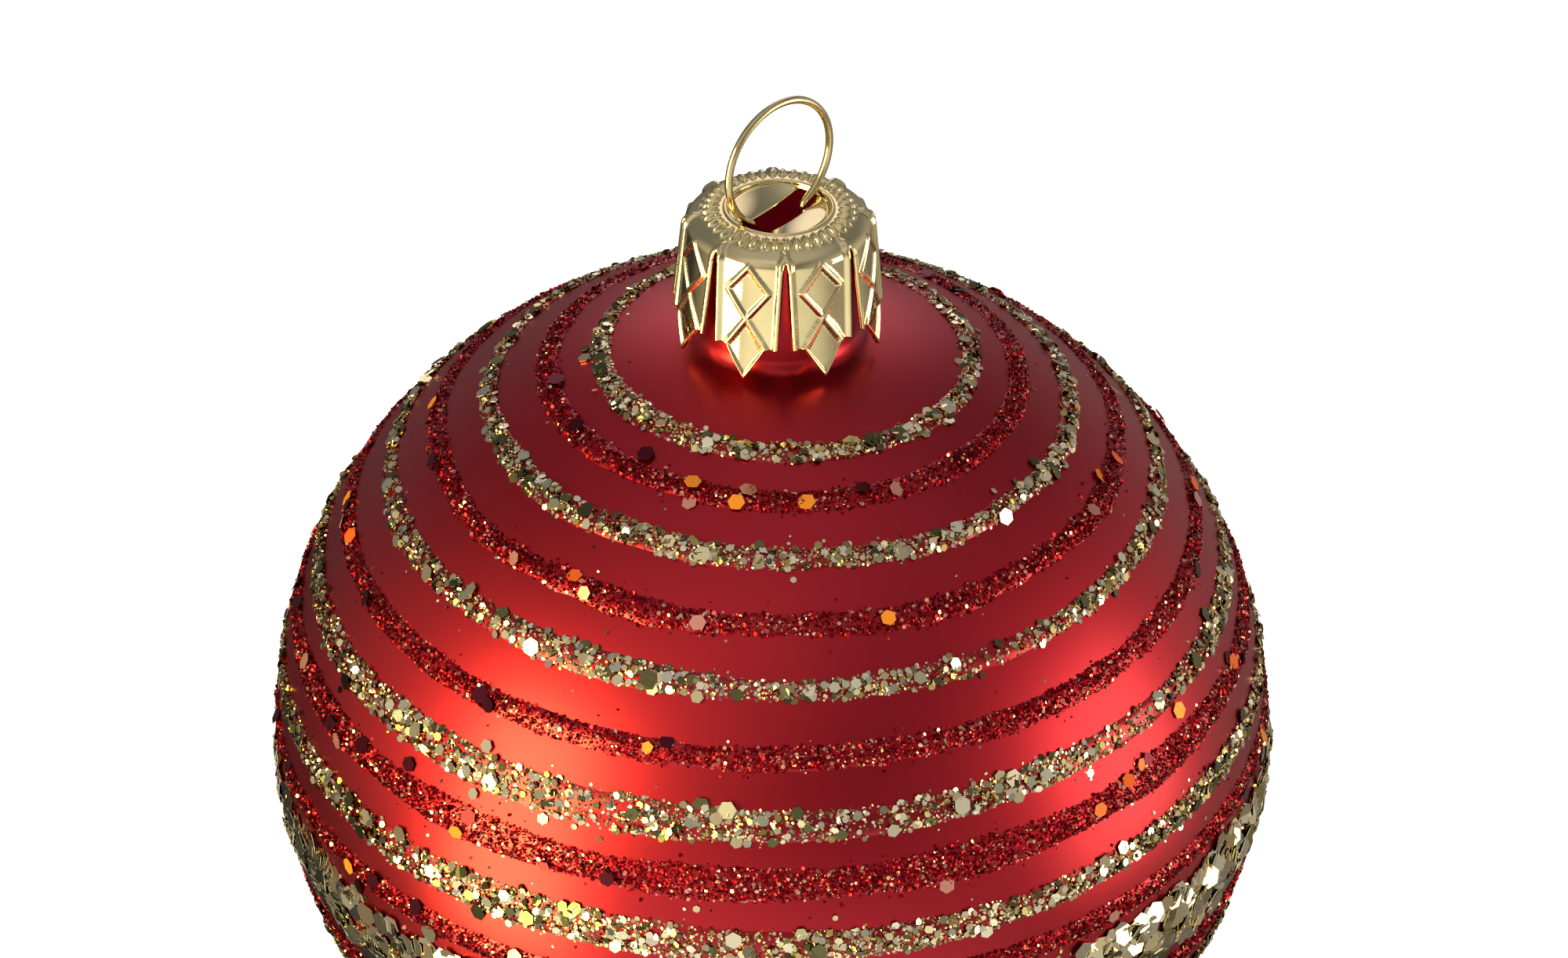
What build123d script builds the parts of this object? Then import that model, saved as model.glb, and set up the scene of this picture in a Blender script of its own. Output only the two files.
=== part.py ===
from build123d import *
import math
import os

# A glass ball ornament: a blown ball with a neck, a stamped crown cap over the neck, a sprung
# wire hanger through the cap, and rings of glitter glued round the ball.
# Millimetres and degrees. The origin is the hang point, inside the top of the wire loop, with
# +Z up, X across the loop and Y through it.

# Blown glass
ball_width = 80.0
ball_height = 74.3
glass_wall = 0.7
neck_radius = 6.2
neck_wall = 0.85
neck_length = 10.0  # from the top of the ball to the rim
neck_root_round = 1.2
rim_round = 0.35

# Hanger wire
wire_radius = 0.3
loop_radius = 5.07  # to the middle of the wire
loop_open_half_angle = 35.0  # where the wire leaves the circle, from straight down
waist_bend = 1.2
leg_splay = 35.0
knee_bend = 3.0
leg_length = 11.0
tip_bend = 6.0
tip_turn = 20.0

# Crown cap
cap_wall = 0.35
waist_depth = 0.25  # from the top of the cap down to where the wire leaves its circle
recess_margin = 0.8  # recess past the middle of the wire, where the wire leaves its circle
recess_depth = 0.4
lip_run = 0.4
recess_corner_round = 0.15
lip_round = 0.5
cap_corner_radius = 7.1
cap_shoulder_round = 1.3
skirt_radius = 8.04  # outside, at the tips
cap_height = 10.5
tooth_height = 2.6
tooth_half_width = 1.65
tooth_tip_width = 0.3
petal_count = 8
petal_turn = 7.3  # first gap between petals, from +X
gap_top_depth = 0.9
gap_top_width = 0.3
gap_bottom_width = 1.0
slot_width = 2.3
slot_turn = 10.3  # from +X, the cap as it rests on the wire

# Glitter rings, set out by the angle up from the middle of the ball
line_width = 2.6
line_height = 0.5
line_edge = 0.15
upper_lines = (69.0, 62.8, 55.7, 48.3, 41.2, 33.5, 26.1, 19.4, 11.9, 5.3)
band_angle = -2.8
band_width = 6.8
band_height = 0.65

# Fits
leg_clearance = 0.04  # hanger leg to the bore of the neck
glue_gap = 0.02  # glitter ring to the glass

# Heights, from the hang point down
loop_centre_z = wire_radius - loop_radius
loop_end_rise = loop_radius * math.cos(math.radians(loop_open_half_angle))
cap_top_z = loop_centre_z - loop_end_rise + waist_depth
cap_floor_z = cap_top_z - recess_depth
cap_tip_z = cap_top_z - cap_height
cap_corner_z = cap_tip_z + tooth_height
neck_rim_z = cap_top_z - cap_wall
ball_top_z = neck_rim_z - neck_length
ball_centre_z = ball_top_z - ball_height / 2
neck_seam_z = ball_top_z + neck_root_round

# Radii that follow from a neighbour
recess_radius = loop_radius * math.sin(math.radians(loop_open_half_angle)) + recess_margin
neck_bore = neck_radius - neck_wall
leg_radius = neck_bore - wire_radius - leg_clearance

os.makedirs("parts", exist_ok=True)


def ball_point(angle, height):
    """Place in the XZ plane at a height above the glass, for an angle round the ellipse."""
    across = math.cos(math.radians(angle))
    up = math.sin(math.radians(angle))
    normal = Vector(across / ball_width, up / ball_height).normalized()
    return (
        across * ball_width / 2 + height * normal.X,
        ball_centre_z + up * ball_height / 2 + height * normal.Y,
    )


def cap_outline(depth):
    """Half section of the cap, from its middle out to the tips, at a depth in from the outside."""
    slope_shift = depth * math.tan(math.atan2(recess_depth, lip_run) / 2)
    return FilletPolyline(
        (0, cap_floor_z - depth),
        (recess_radius + slope_shift, cap_floor_z - depth),
        (recess_radius + lip_run + slope_shift, cap_top_z - depth),
        (cap_corner_radius - depth, cap_top_z - depth),
        (skirt_radius - depth, cap_tip_z),
        radius=[recess_corner_round + depth, lip_round - depth, cap_shoulder_round - depth],
    )


def save(piece, name):
    """Label a finished piece and write it under its node name."""
    piece.part.label = name
    export_step(piece.part, f"parts/{name}.step")


# Ball and neck, blown as one shell
with BuildPart() as blown_glass:
    for depth, radius, mode in (
        (0, neck_radius, Mode.ADD),
        (glass_wall, neck_bore, Mode.SUBTRACT),
    ):
        half_width = ball_width / 2 - depth
        half_height = ball_height / 2 - depth
        with BuildSketch(Plane.XZ):
            with BuildLine():
                for start in (-90, 0):
                    EllipticalCenterArc(
                        (0, ball_centre_z), half_width, half_height, start, arc_size=90
                    )
                Line((0, ball_centre_z + half_height), (0, ball_centre_z - half_height))
            make_face()
        revolve(axis=Axis.Z, mode=mode)
        with BuildSketch(Plane.XY.offset(neck_rim_z)):
            Circle(radius)
        extrude(amount=-neck_length - 2 * glass_wall, mode=mode)
    circles = blown_glass.edges().filter_by(lambda edge: edge.is_closed).sort_by(Axis.Z)
    fillet(circles[-2:], radius=rim_round)
    roots = circles.filter_by_position(Axis.Z, ball_top_z - 2 * glass_wall, ball_top_z)
    fillet(roots, radius=neck_root_round)

# The plain tube of the neck is a node of its own, so that its bore stays open in collision
with BuildPart() as glass_neck:
    add(blown_glass)
    split(bisect_by=Plane.XY.offset(neck_seam_z), keep=Keep.TOP)
save(glass_neck, "glass_neck")
with BuildPart() as glass_ball:
    add(blown_glass)
    split(bisect_by=Plane.XY.offset(neck_seam_z), keep=Keep.BOTTOM)
save(glass_ball, "glass_ball")

# Hanger: one wire, from a sprung leg in the neck round the loop to the other leg
with BuildPart() as hanger_wire:
    with BuildLine(Plane.XZ) as wire_path:
        loop = CenterArc(
            (0, loop_centre_z),
            loop_radius,
            loop_open_half_angle - 90,
            360 - 2 * loop_open_half_angle,
        )
        waist = JernArc(
            loop @ 1, loop % 1, waist_bend, loop_open_half_angle - leg_splay - 90
        )
        knee_run = knee_bend * (1 - math.cos(math.radians(leg_splay)))
        splay_run = leg_radius - knee_run + (waist @ 1).X
        splay_length = splay_run / math.sin(math.radians(leg_splay))
        splay = Line(waist @ 1, waist @ 1 + (waist % 1) * splay_length)
        knee = JernArc(splay @ 1, splay % 1, knee_bend, leg_splay)
        leg = Line(knee @ 1, knee @ 1 + (knee % 1) * leg_length)
        tip = JernArc(leg @ 1, leg % 1, tip_bend, tip_turn)
        mirror([waist, splay, knee, leg, tip], about=Plane.YZ)
    path = wire_path.wire()
    with BuildSketch(Plane(origin=path @ 0, z_dir=path % 0)):
        Circle(wire_radius)
    sweep(path=path)
save(hanger_wire, "hanger_wire")

# Cap: a stamped crown with a sunk, slotted top and eight petals, each ending in a tooth
with BuildPart() as crown_cap:
    with BuildSketch(Plane.XZ):
        with BuildLine():
            outer = cap_outline(0)
            inner = cap_outline(cap_wall)
            Line(outer @ 0, inner @ 0)
            Line(outer @ 1, inner @ 1)
        make_face()
    revolve(axis=Axis.Z)
    with BuildSketch(Plane.XY.offset(cap_floor_z)):
        Rectangle(2 * recess_radius, slot_width, rotation=slot_turn)
    extrude(amount=-cap_wall, mode=Mode.SUBTRACT)
    tip_reach = skirt_radius * math.sin(math.pi / petal_count) - tooth_tip_width / 2
    shoulder_reach = tip_reach + tooth_tip_width / 2 - tooth_half_width
    for gap in range(petal_count):
        turn = math.radians(petal_turn + gap * 360 / petal_count)
        outward = Vector(math.cos(turn), math.sin(turn), 0)
        with BuildSketch(Plane(origin=(0, 0, 0), x_dir=outward.rotate(Axis.Z, 90), z_dir=outward)):
            with BuildLine():
                Polyline(
                    (0, cap_top_z - gap_top_depth),
                    (gap_top_width / 2, cap_top_z - gap_top_depth),
                    (gap_bottom_width / 2, cap_corner_z),
                    (shoulder_reach, cap_corner_z),
                    (tip_reach, cap_tip_z),
                    (tip_reach, cap_tip_z - tooth_height),
                    (0, cap_tip_z - tooth_height),
                )
                mirror(about=Plane.YZ)
            make_face()
    extrude(amount=skirt_radius + cap_wall, mode=Mode.SUBTRACT)
save(crown_cap, "crown_cap")

# Glitter rings: a gold and a red line by turns down to the sequin band, then the same again
# below it
lower_lines = [2 * band_angle - angle for angle in reversed(upper_lines)]
rings = []
for order, angle in enumerate([*upper_lines, *lower_lines]):
    below_band = order >= len(upper_lines)
    colour = "red" if (order + below_band) % 2 else "gold"
    rings.append((f"{colour}_line_{order // 2 + 1}", angle, line_width, line_height))
rings.append(("sequin_band", band_angle, band_width, band_height))

for name, angle, width, height in rings:
    reach = math.degrees(width / ball_width)
    with BuildPart() as ring:
        with BuildSketch(Plane.XZ):
            with BuildLine():
                ThreePointArc(
                    ball_point(angle - reach, glue_gap),
                    ball_point(angle, glue_gap),
                    ball_point(angle + reach, glue_gap),
                )
                Line(ball_point(angle + reach, glue_gap), ball_point(angle + reach, line_edge))
                ThreePointArc(
                    ball_point(angle + reach, line_edge),
                    ball_point(angle, height),
                    ball_point(angle - reach, line_edge),
                )
                Line(ball_point(angle - reach, line_edge), ball_point(angle - reach, glue_gap))
            make_face()
        revolve(axis=Axis.Z)
    save(ring, name)
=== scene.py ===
import math
from collections import namedtuple

import bpy
import numpy as np
from mathutils import Matrix, Vector


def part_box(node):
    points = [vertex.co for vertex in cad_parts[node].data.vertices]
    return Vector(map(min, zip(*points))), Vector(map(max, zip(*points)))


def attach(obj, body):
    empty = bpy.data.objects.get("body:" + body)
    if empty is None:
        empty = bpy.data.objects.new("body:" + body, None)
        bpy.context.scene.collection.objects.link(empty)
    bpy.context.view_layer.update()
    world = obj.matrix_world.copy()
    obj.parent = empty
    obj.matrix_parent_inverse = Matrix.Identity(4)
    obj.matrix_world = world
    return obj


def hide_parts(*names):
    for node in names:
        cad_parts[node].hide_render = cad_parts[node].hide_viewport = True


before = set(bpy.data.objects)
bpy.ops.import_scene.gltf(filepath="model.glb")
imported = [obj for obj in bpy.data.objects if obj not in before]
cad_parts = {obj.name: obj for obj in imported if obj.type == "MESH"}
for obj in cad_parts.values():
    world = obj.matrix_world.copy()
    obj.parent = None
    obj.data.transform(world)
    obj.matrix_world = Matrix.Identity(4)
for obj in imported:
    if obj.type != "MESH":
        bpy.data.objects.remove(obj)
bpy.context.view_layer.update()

bl_info = {
    "name": "Glass Ball Ornament",
    "version": (1, 0, 0),
    "blender": (4, 5, 0),
    "location": "3D View > Sidebar > Ornament",
    "description": "Lacquered glass ball with a stamped crown cap, a wire loop and glitter rings",
    "category": "Add Mesh",
}

MM = 0.001
GOLD_LINES = [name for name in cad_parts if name.startswith("gold_line_")]
RED_LINES = [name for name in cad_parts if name.startswith("red_line_")]
GLASS_NODES = [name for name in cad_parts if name.startswith("glass_")]
GLASS_LOW, GLASS_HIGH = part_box("glass_ball")
NECK_RIM = max(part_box(name)[1].z for name in GLASS_NODES)
CAP_LOW, CAP_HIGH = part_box("crown_cap")
WIRE_LOW, WIRE_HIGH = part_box("hanger_wire")


# ---------------------------------------------------------------- settings


class BallSettings(bpy.types.PropertyGroup):
    """Sizes and colours of the blown glass."""

    radius: bpy.props.FloatProperty(
        name="Radius",
        description="Half the width of the ball",
        default=GLASS_HIGH.x,
        unit="LENGTH",
    )
    half_height: bpy.props.FloatProperty(
        name="Half height",
        description="From the middle of the ball to its bottom",
        default=37.15 * MM,
        unit="LENGTH",
    )
    wall: bpy.props.FloatProperty(
        name="Wall", description="Thickness of the glass", default=0.7 * MM, unit="LENGTH"
    )
    neck_radius: bpy.props.FloatProperty(
        name="Neck radius", description="Outside of the neck", default=6.2 * MM, unit="LENGTH"
    )
    neck_wall: bpy.props.FloatProperty(
        name="Neck wall", description="Thickness of the neck", default=0.85 * MM, unit="LENGTH"
    )
    neck_root_round: bpy.props.FloatProperty(
        name="Neck root round",
        description="Radius where the neck meets the ball",
        default=1.2 * MM,
        unit="LENGTH",
    )
    lacquer: bpy.props.FloatVectorProperty(
        name="Lacquer",
        description="Colour of the satin lacquer over the silvering",
        default=(0.49, 0.007, 0.023),
        subtype="COLOR",
    )


class CapSettings(bpy.types.PropertyGroup):
    """Sizes and colour of the stamped crown."""

    sheet: bpy.props.FloatProperty(
        name="Sheet", description="Thickness of the sheet", default=0.3 * MM, unit="LENGTH"
    )
    recess_radius: bpy.props.FloatProperty(
        name="Recess radius", description="Sunk middle of the top", default=3.75 * MM, unit="LENGTH"
    )
    recess_depth: bpy.props.FloatProperty(
        name="Recess depth", description="How far the middle is sunk", default=0.42 * MM, unit="LENGTH"
    )
    slot_width: bpy.props.FloatProperty(
        name="Slot width", description="Gap between the two half-moon plates", default=2.3 * MM,
        unit="LENGTH",
    )
    slot_turn: bpy.props.FloatProperty(
        name="Slot turn",
        description="Turn of the slot from the plane of the loop",
        default=math.radians(10.3),
        subtype="ANGLE",
    )
    petal_turn: bpy.props.FloatProperty(
        name="Petal turn",
        description="Turn of the first gap between petals from the plane of the loop",
        default=math.radians(7.3),
        subtype="ANGLE",
    )
    bead_count: bpy.props.IntProperty(
        name="Beads", description="Embossed beads round the top", default=40
    )
    metal: bpy.props.FloatVectorProperty(
        name="Metal", description="Colour of the cap", default=(0.88, 0.75, 0.42), subtype="COLOR"
    )


class WireSettings(bpy.types.PropertyGroup):
    """Sizes and colour of the hanger."""

    radius: bpy.props.FloatProperty(
        name="Wire radius", description="Half the thickness of the wire", default=0.3 * MM,
        unit="LENGTH",
    )
    loop_radius: bpy.props.FloatProperty(
        name="Loop radius", description="To the middle of the wire", default=5.07 * MM,
        unit="LENGTH",
    )
    metal: bpy.props.FloatVectorProperty(
        name="Metal", description="Colour of the wire", default=(0.76, 0.63, 0.35), subtype="COLOR"
    )


class GlitterSettings(bpy.types.PropertyGroup):
    """How the glitter rings are laid."""

    line_width: bpy.props.FloatProperty(
        name="Line width", description="Width of a drawn line", default=1.8 * MM, unit="LENGTH"
    )
    glue_height: bpy.props.FloatProperty(
        name="Glue height", description="Crown of the glue line", default=0.2 * MM, unit="LENGTH"
    )
    seed: bpy.props.IntProperty(
        name="Seed", description="Start of the scatter of the flakes", default=11
    )
    density: bpy.props.FloatProperty(
        name="Density", description="How thickly the flakes are strewn", default=1.0
    )


class StageSettings(bpy.types.PropertyGroup):
    """Camera and light."""

    view_turn: bpy.props.FloatProperty(
        name="View turn",
        description="Turn of the camera round the ball, from the plane of the loop",
        default=math.radians(-131.7),
        subtype="ANGLE",
    )
    view_rise: bpy.props.FloatProperty(
        name="View rise",
        description="Height of the camera over the ball, as an angle",
        default=math.radians(37.15),
        subtype="ANGLE",
    )
    view_distance: bpy.props.FloatProperty(
        name="View distance", description="Camera to the middle of the ball", default=362.8 * MM,
        unit="LENGTH",
    )
    lean: bpy.props.FloatProperty(
        name="Lean", description="How far the ball leans to the right", default=0.0107,
        subtype="ANGLE",
    )
    aim: bpy.props.FloatVectorProperty(
        name="Aim",
        description="Middle of the picture, right of and above the middle of the ball",
        default=(0.97 * MM, 18.77 * MM),
        size=2,
        unit="LENGTH",
    )
    lens: bpy.props.FloatProperty(name="Lens", description="Focal length in mm", default=101.9)


SETTINGS = {
    "ornament_ball": BallSettings,
    "ornament_cap": CapSettings,
    "ornament_wire": WireSettings,
    "ornament_glitter": GlitterSettings,
    "ornament_stage": StageSettings,
}


# ---------------------------------------------------------------- mesh helpers


def add_object(name, mesh, materials, body, replaced):
    """Link a finished mesh as a piece that rides on a body and stands for its node."""
    for material in materials:
        mesh.materials.append(material)
    piece = bpy.data.objects.new(name, mesh)
    bpy.context.scene.collection.objects.link(piece)
    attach(piece, body)
    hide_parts(*replaced)
    return piece


def mesh_from(name, points, faces, tones=None, smooth=True):
    """Mesh from points and faces; faces is a list of (count, corners) index arrays."""
    mesh = bpy.data.meshes.new(name)
    mesh.vertices.add(len(points))
    mesh.vertices.foreach_set("co", np.asarray(points, np.float32).ravel())
    loops = np.concatenate([block.ravel() for block in faces])
    totals = np.concatenate([np.full(len(block), block.shape[1]) for block in faces])
    mesh.loops.add(len(loops))
    mesh.loops.foreach_set("vertex_index", loops.astype(np.int32))
    mesh.polygons.add(len(totals))
    starts = np.concatenate([[0], np.cumsum(totals)[:-1]])
    mesh.polygons.foreach_set("loop_start", starts.astype(np.int32))
    if tones is not None:
        mesh.polygons.foreach_set("material_index", np.asarray(tones, np.int32))
    smooth = np.broadcast_to(np.asarray(smooth, bool), len(totals))
    mesh.polygons.foreach_set("use_smooth", smooth.astype(np.uint8))
    mesh.update(calc_edges=True)
    mesh.validate()
    return mesh


def grid_faces(rows, columns, wrap=False, first=0):
    """Quads of a grid of rows by columns of points, joined round when wrap is set."""
    across = columns if wrap else columns - 1
    row, column = np.meshgrid(np.arange(rows - 1), np.arange(across), indexing="ij")
    after = (column + 1) % columns
    corners = [row * columns + column, row * columns + after]
    corners += [(row + 1) * columns + after, (row + 1) * columns + column]
    return first + np.stack([corner.ravel() for corner in corners], axis=1)


def arc(centre, radius, start, stop, count):
    """Points of an arc in the plane, angles in degrees."""
    angle = np.radians(np.linspace(start, stop, count))
    return np.stack([centre[0] + radius * np.cos(angle), centre[1] + radius * np.sin(angle)], 1)


# ---------------------------------------------------------------- ball shape


def ball_middle(ball):
    """Height of the middle of the ball."""
    return GLASS_LOW.z + ball.half_height


def on_ball(ball, latitude, azimuth, height=0.0):
    """Points, outward normals and north directions on the glass, as arrays."""
    up, out = np.sin(latitude), np.cos(latitude)
    normal_out, normal_up = out / ball.radius, up / ball.half_height
    size = np.hypot(normal_out, normal_up)
    normal_out, normal_up = normal_out / size, normal_up / size
    away = out * ball.radius + height * normal_out
    rise = ball_middle(ball) + up * ball.half_height + height * normal_up
    east_x, east_y = np.cos(azimuth), np.sin(azimuth)
    point = np.stack([away * east_x, away * east_y, rise], -1)
    normal = np.stack([normal_out * east_x, normal_out * east_y, normal_up], -1)
    north = np.stack([-normal_up * east_x, -normal_up * east_y, normal_out], -1)
    return point, normal, north


def arc_per_radian(ball, latitude):
    """Length on the glass of one radian of latitude."""
    return np.hypot(ball.radius * np.sin(latitude), ball.half_height * np.cos(latitude))


# ---------------------------------------------------------------- material helpers


def new_material(name, colour, roughness, metallic=1.0, coat=0.0, coat_roughness=0.1):
    """Principled material with its constant values on the shader."""
    material = bpy.data.materials.new(name)
    material.use_nodes = True
    shader = material.node_tree.nodes["Principled BSDF"]
    shader.inputs["Base Color"].default_value = (*colour, 1.0)
    shader.inputs["Roughness"].default_value = roughness
    shader.inputs["Metallic"].default_value = metallic
    shader.inputs["Coat Weight"].default_value = coat
    shader.inputs["Coat Roughness"].default_value = coat_roughness
    return material, shader


def mottle_group():
    """Shader node group: soft patchy mask and fine bump height, in object space."""
    group = bpy.data.node_groups.get("Mottle")
    if group:
        return group
    group = bpy.data.node_groups.new("Mottle", "ShaderNodeTree")
    socket = group.interface.new_socket
    socket(name="Patch Scale", in_out="INPUT", socket_type="NodeSocketFloat")
    socket(name="Grain Scale", in_out="INPUT", socket_type="NodeSocketFloat")
    socket(name="Patches", in_out="OUTPUT", socket_type="NodeSocketFloat")
    socket(name="Grain", in_out="OUTPUT", socket_type="NodeSocketFloat")
    nodes, links = group.nodes, group.links
    inputs = nodes.new("NodeGroupInput")
    outputs = nodes.new("NodeGroupOutput")
    place = nodes.new("ShaderNodeTexCoord")
    for scale, detail, output in (("Patch Scale", 3.0, "Patches"), ("Grain Scale", 1.0, "Grain")):
        noise = nodes.new("ShaderNodeTexNoise")
        noise.inputs["Detail"].default_value = detail
        links.new(place.outputs["Object"], noise.inputs["Vector"])
        links.new(inputs.outputs[scale], noise.inputs["Scale"])
        links.new(noise.outputs["Fac"], outputs.inputs[output])
    return group


def add_mottle(material, shader, patch_scale, grain_scale, low, high, roughness, bump):
    """Vary a material's colour and roughness in patches, and give it a fine grain."""
    nodes, links = material.node_tree.nodes, material.node_tree.links
    mottle = nodes.new("ShaderNodeGroup")
    mottle.node_tree = mottle_group()
    mottle.inputs["Patch Scale"].default_value = patch_scale
    mottle.inputs["Grain Scale"].default_value = grain_scale
    tint = nodes.new("ShaderNodeValToRGB")
    tint.color_ramp.elements[0].position = 0.3
    tint.color_ramp.elements[0].color = (*low, 1.0)
    tint.color_ramp.elements[1].position = 0.7
    tint.color_ramp.elements[1].color = (*high, 1.0)
    links.new(mottle.outputs["Patches"], tint.inputs["Fac"])
    links.new(tint.outputs["Color"], shader.inputs["Base Color"])
    sheen = nodes.new("ShaderNodeMapRange")
    sheen.inputs["To Min"].default_value = roughness[0]
    sheen.inputs["To Max"].default_value = roughness[1]
    links.new(mottle.outputs["Patches"], sheen.inputs["Value"])
    links.new(sheen.outputs["Result"], shader.inputs["Roughness"])
    relief = nodes.new("ShaderNodeBump")
    relief.inputs["Strength"].default_value = bump
    relief.inputs["Distance"].default_value = 0.05 * MM
    links.new(mottle.outputs["Grain"], relief.inputs["Height"])
    links.new(relief.outputs["Normal"], shader.inputs["Normal"])


def scaled(colour, factor):
    """A colour made darker or lighter."""
    return tuple(min(1.0, part * factor) for part in colour)


def lacquer_material(ball):
    """Satin red lacquer that glows over the silvered glass."""
    material, shader = new_material(
        "Satin lacquer", ball.lacquer, 0.38, coat=0.5, coat_roughness=0.32
    )
    add_mottle(
        material,
        shader,
        patch_scale=45.0,
        grain_scale=2600.0,
        low=scaled(ball.lacquer, 0.93),
        high=scaled(ball.lacquer, 1.07),
        roughness=(0.35, 0.40),
        bump=0.04,
    )
    return material


def neck_material(ball):
    """Bare glass in the bore of the neck, with a painted red glow: a faint emission stands in for the
    light that the lacquer lets through.
    """
    material, shader = new_material("Neck glass with painted glow", ball.lacquer, 0.12, metallic=0.5, coat=1.0)
    # Painted glow: this red emission stands in for light passing through the lacquer into the bore,
    # though the glass is no lamp.
    shader.inputs["Emission Color"].default_value = (*ball.lacquer, 1.0)
    shader.inputs["Emission Strength"].default_value = 0.1
    add_mottle(
        material,
        shader,
        patch_scale=350.0,
        grain_scale=700.0,
        low=scaled(ball.lacquer, 0.4),
        high=scaled(ball.lacquer, 1.4),
        roughness=(0.1, 0.2),
        bump=0.3,
    )
    return material


def glue_material(ball):
    """Clear glossy glue with the lacquer showing through, in constant values."""
    material, _ = new_material(
        "Clear glue line", scaled(ball.lacquer, 0.85), 0.4, coat=0.7, coat_roughness=0.2
    )
    return material


def stamped_material(cap):
    """Thin lacquered sheet, pale gold, with faint press marks."""
    material, shader = new_material("Stamped gold sheet", cap.metal, 0.2)
    add_mottle(
        material,
        shader,
        patch_scale=300.0,
        grain_scale=700.0,
        low=scaled(cap.metal, 0.92),
        high=scaled(cap.metal, 1.06),
        roughness=(0.04, 0.09),
        bump=0.05,
    )
    return material


def wire_material(wire):
    """Drawn wire with fine marks from the die."""
    material, shader = new_material("Gilt wire", wire.metal, 0.16)
    add_mottle(
        material,
        shader,
        patch_scale=500.0,
        grain_scale=2400.0,
        low=scaled(wire.metal, 0.85),
        high=scaled(wire.metal, 1.1),
        roughness=(0.08, 0.18),
        bump=0.05,
    )
    return material


# ---------------------------------------------------------------- ball


def glass_profile(ball):
    """Section of the shell, from the outside of the bottom over the rim to the inside."""
    middle = ball_middle(ball)
    bore = ball.neck_radius - ball.neck_wall
    root_radius = ball.neck_radius + ball.neck_root_round
    top = math.acos(root_radius / ball.radius)
    outer = np.linspace(-math.pi / 2, top, 210)
    outside = np.stack([ball.radius * np.cos(outer), middle + ball.half_height * np.sin(outer)], 1)
    root_middle = (root_radius, outside[-1, 1] + ball.neck_root_round)
    round_off = arc(root_middle, ball.neck_root_round, -96, -180, 9)[1:]
    lip = ball.neck_wall / 2
    rim_arc = arc((bore + lip, NECK_RIM - lip), lip, 0, 180, 13)
    inner_top = math.acos(bore / (ball.radius - ball.wall))
    inner = np.linspace(inner_top, -math.pi / 2, 120)
    inside = np.stack(
        [
            (ball.radius - ball.wall) * np.cos(inner),
            middle + (ball.half_height - ball.wall) * np.sin(inner),
        ],
        1,
    )
    profile = np.concatenate([outside, round_off, rim_arc, inside])
    profile[:, 0] = np.maximum(profile[:, 0], 0.0)
    return profile, len(profile) - len(inside) - 1


def revolve(name, profile, columns, neck_row):
    """Mesh of a section turned round the Z axis, with its two ends on the axis.

    The faces of one row, the bore of the neck, take the second material.
    """
    angle = np.linspace(0, 2 * math.pi, columns, endpoint=False)
    ring = profile[1:-1]
    points = np.stack(
        [
            ring[:, :1] * np.cos(angle),
            ring[:, :1] * np.sin(angle),
            np.repeat(ring[:, 1:], columns, axis=1),
        ],
        -1,
    ).reshape(-1, 3)
    faces = grid_faces(len(ring), columns, wrap=True)
    first, last = len(points), len(points) + 1
    points = np.concatenate([points, [[0, 0, profile[0, 1]], [0, 0, profile[-1, 1]]]])
    column = np.arange(columns)
    after = (column + 1) % columns
    bottom = np.stack([np.full(columns, first), after, column], 1)
    end = (len(ring) - 1) * columns
    top = np.stack([np.full(columns, last), end + column, end + after], 1)
    tones = np.zeros(len(faces) + 2 * columns)
    tones[(neck_row - 1) * columns : neck_row * columns] = 1
    return mesh_from(name, points, [faces, bottom, top], tones)


class ORNAMENT_OT_ball(bpy.types.Operator):
    """Blow the glass ball with its neck."""

    bl_idname = "ornament.ball"
    bl_label = "Glass ball"

    def execute(self, context):
        ball = context.scene.ornament_ball
        profile, bore = glass_profile(ball)
        mesh = revolve("glass_shell", profile, 256, bore)
        materials = [lacquer_material(ball), neck_material(ball)]
        add_object("glass_shell", mesh, materials, "ball", GLASS_NODES)
        return {"FINISHED"}


# ---------------------------------------------------------------- cap


def ridge(distance, width, height):
    """Round-topped ridge of a given full width about a line."""
    near = np.clip(1 - (2 * distance / width) ** 2, 0, None)
    return height * near**0.75


def to_segment(x, y, start, stop):
    """Distance from points to a segment."""
    dx, dy = stop[0] - start[0], stop[1] - start[1]
    along = ((x - start[0]) * dx + (y - start[1]) * dy) / (dx * dx + dy * dy)
    along = np.clip(along, 0, 1)
    return np.hypot(x - start[0] - along * dx, y - start[1] - along * dy)


# The crown, in millimetres: depths are below its top, and halves are from the middle of a petal or
# of the gap between two petals
PETALS = 8
PETAL_COLUMNS = 44
SKIRT_ROWS = 66
LATTICE = ((0.0, 1.2), (1.62, 3.25), (0.0, 5.46), (1.6, 7.9), (0.0, 10.35))
LATTICE_WIDTH, LATTICE_HEIGHT = 0.46, 0.2
NO_LATTICE = 9.0  # farther from the lattice than any point of a petal
GAP_TOP = 0.9
GAP_TOP_HALF = 0.09
GAP_BOTTOM_HALF = 0.5
CORNER_DEPTH = 7.9
TOOTH_HALF = 1.65
PETAL_HALF = 2.9
SKIRT_FLARE = 0.2
# The raised hem along each gap, and its pointed arch over the top of the gap
HEM_OFF, HEM_WIDTH, HEM_HEIGHT, HEM_END = 0.36, 0.5, 0.32, 8.4
ARCH_HEIGHT = 0.3
# The flat top, where it turns down, and the round shoulder
TOP_EDGE, TOP_DROP = 5.8, 0.3
SHOULDER_REACH, SHOULDER_ROUND = 1.3, 1.25
RELIEF_FADE = 0.6
BEAD_RING, BEAD_HALF_LENGTH, BEAD_HALF_WIDTH, BEAD_HEIGHT = 5.2, 0.68, 0.31, 0.4
# The two plates beside the slot curl down at the slot and slope towards it
PLATE_ROWS, PLATE_COLUMNS = 10, 40
PLATE_CURL, PLATE_SLOPE = 0.12 * MM, 0.16


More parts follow.
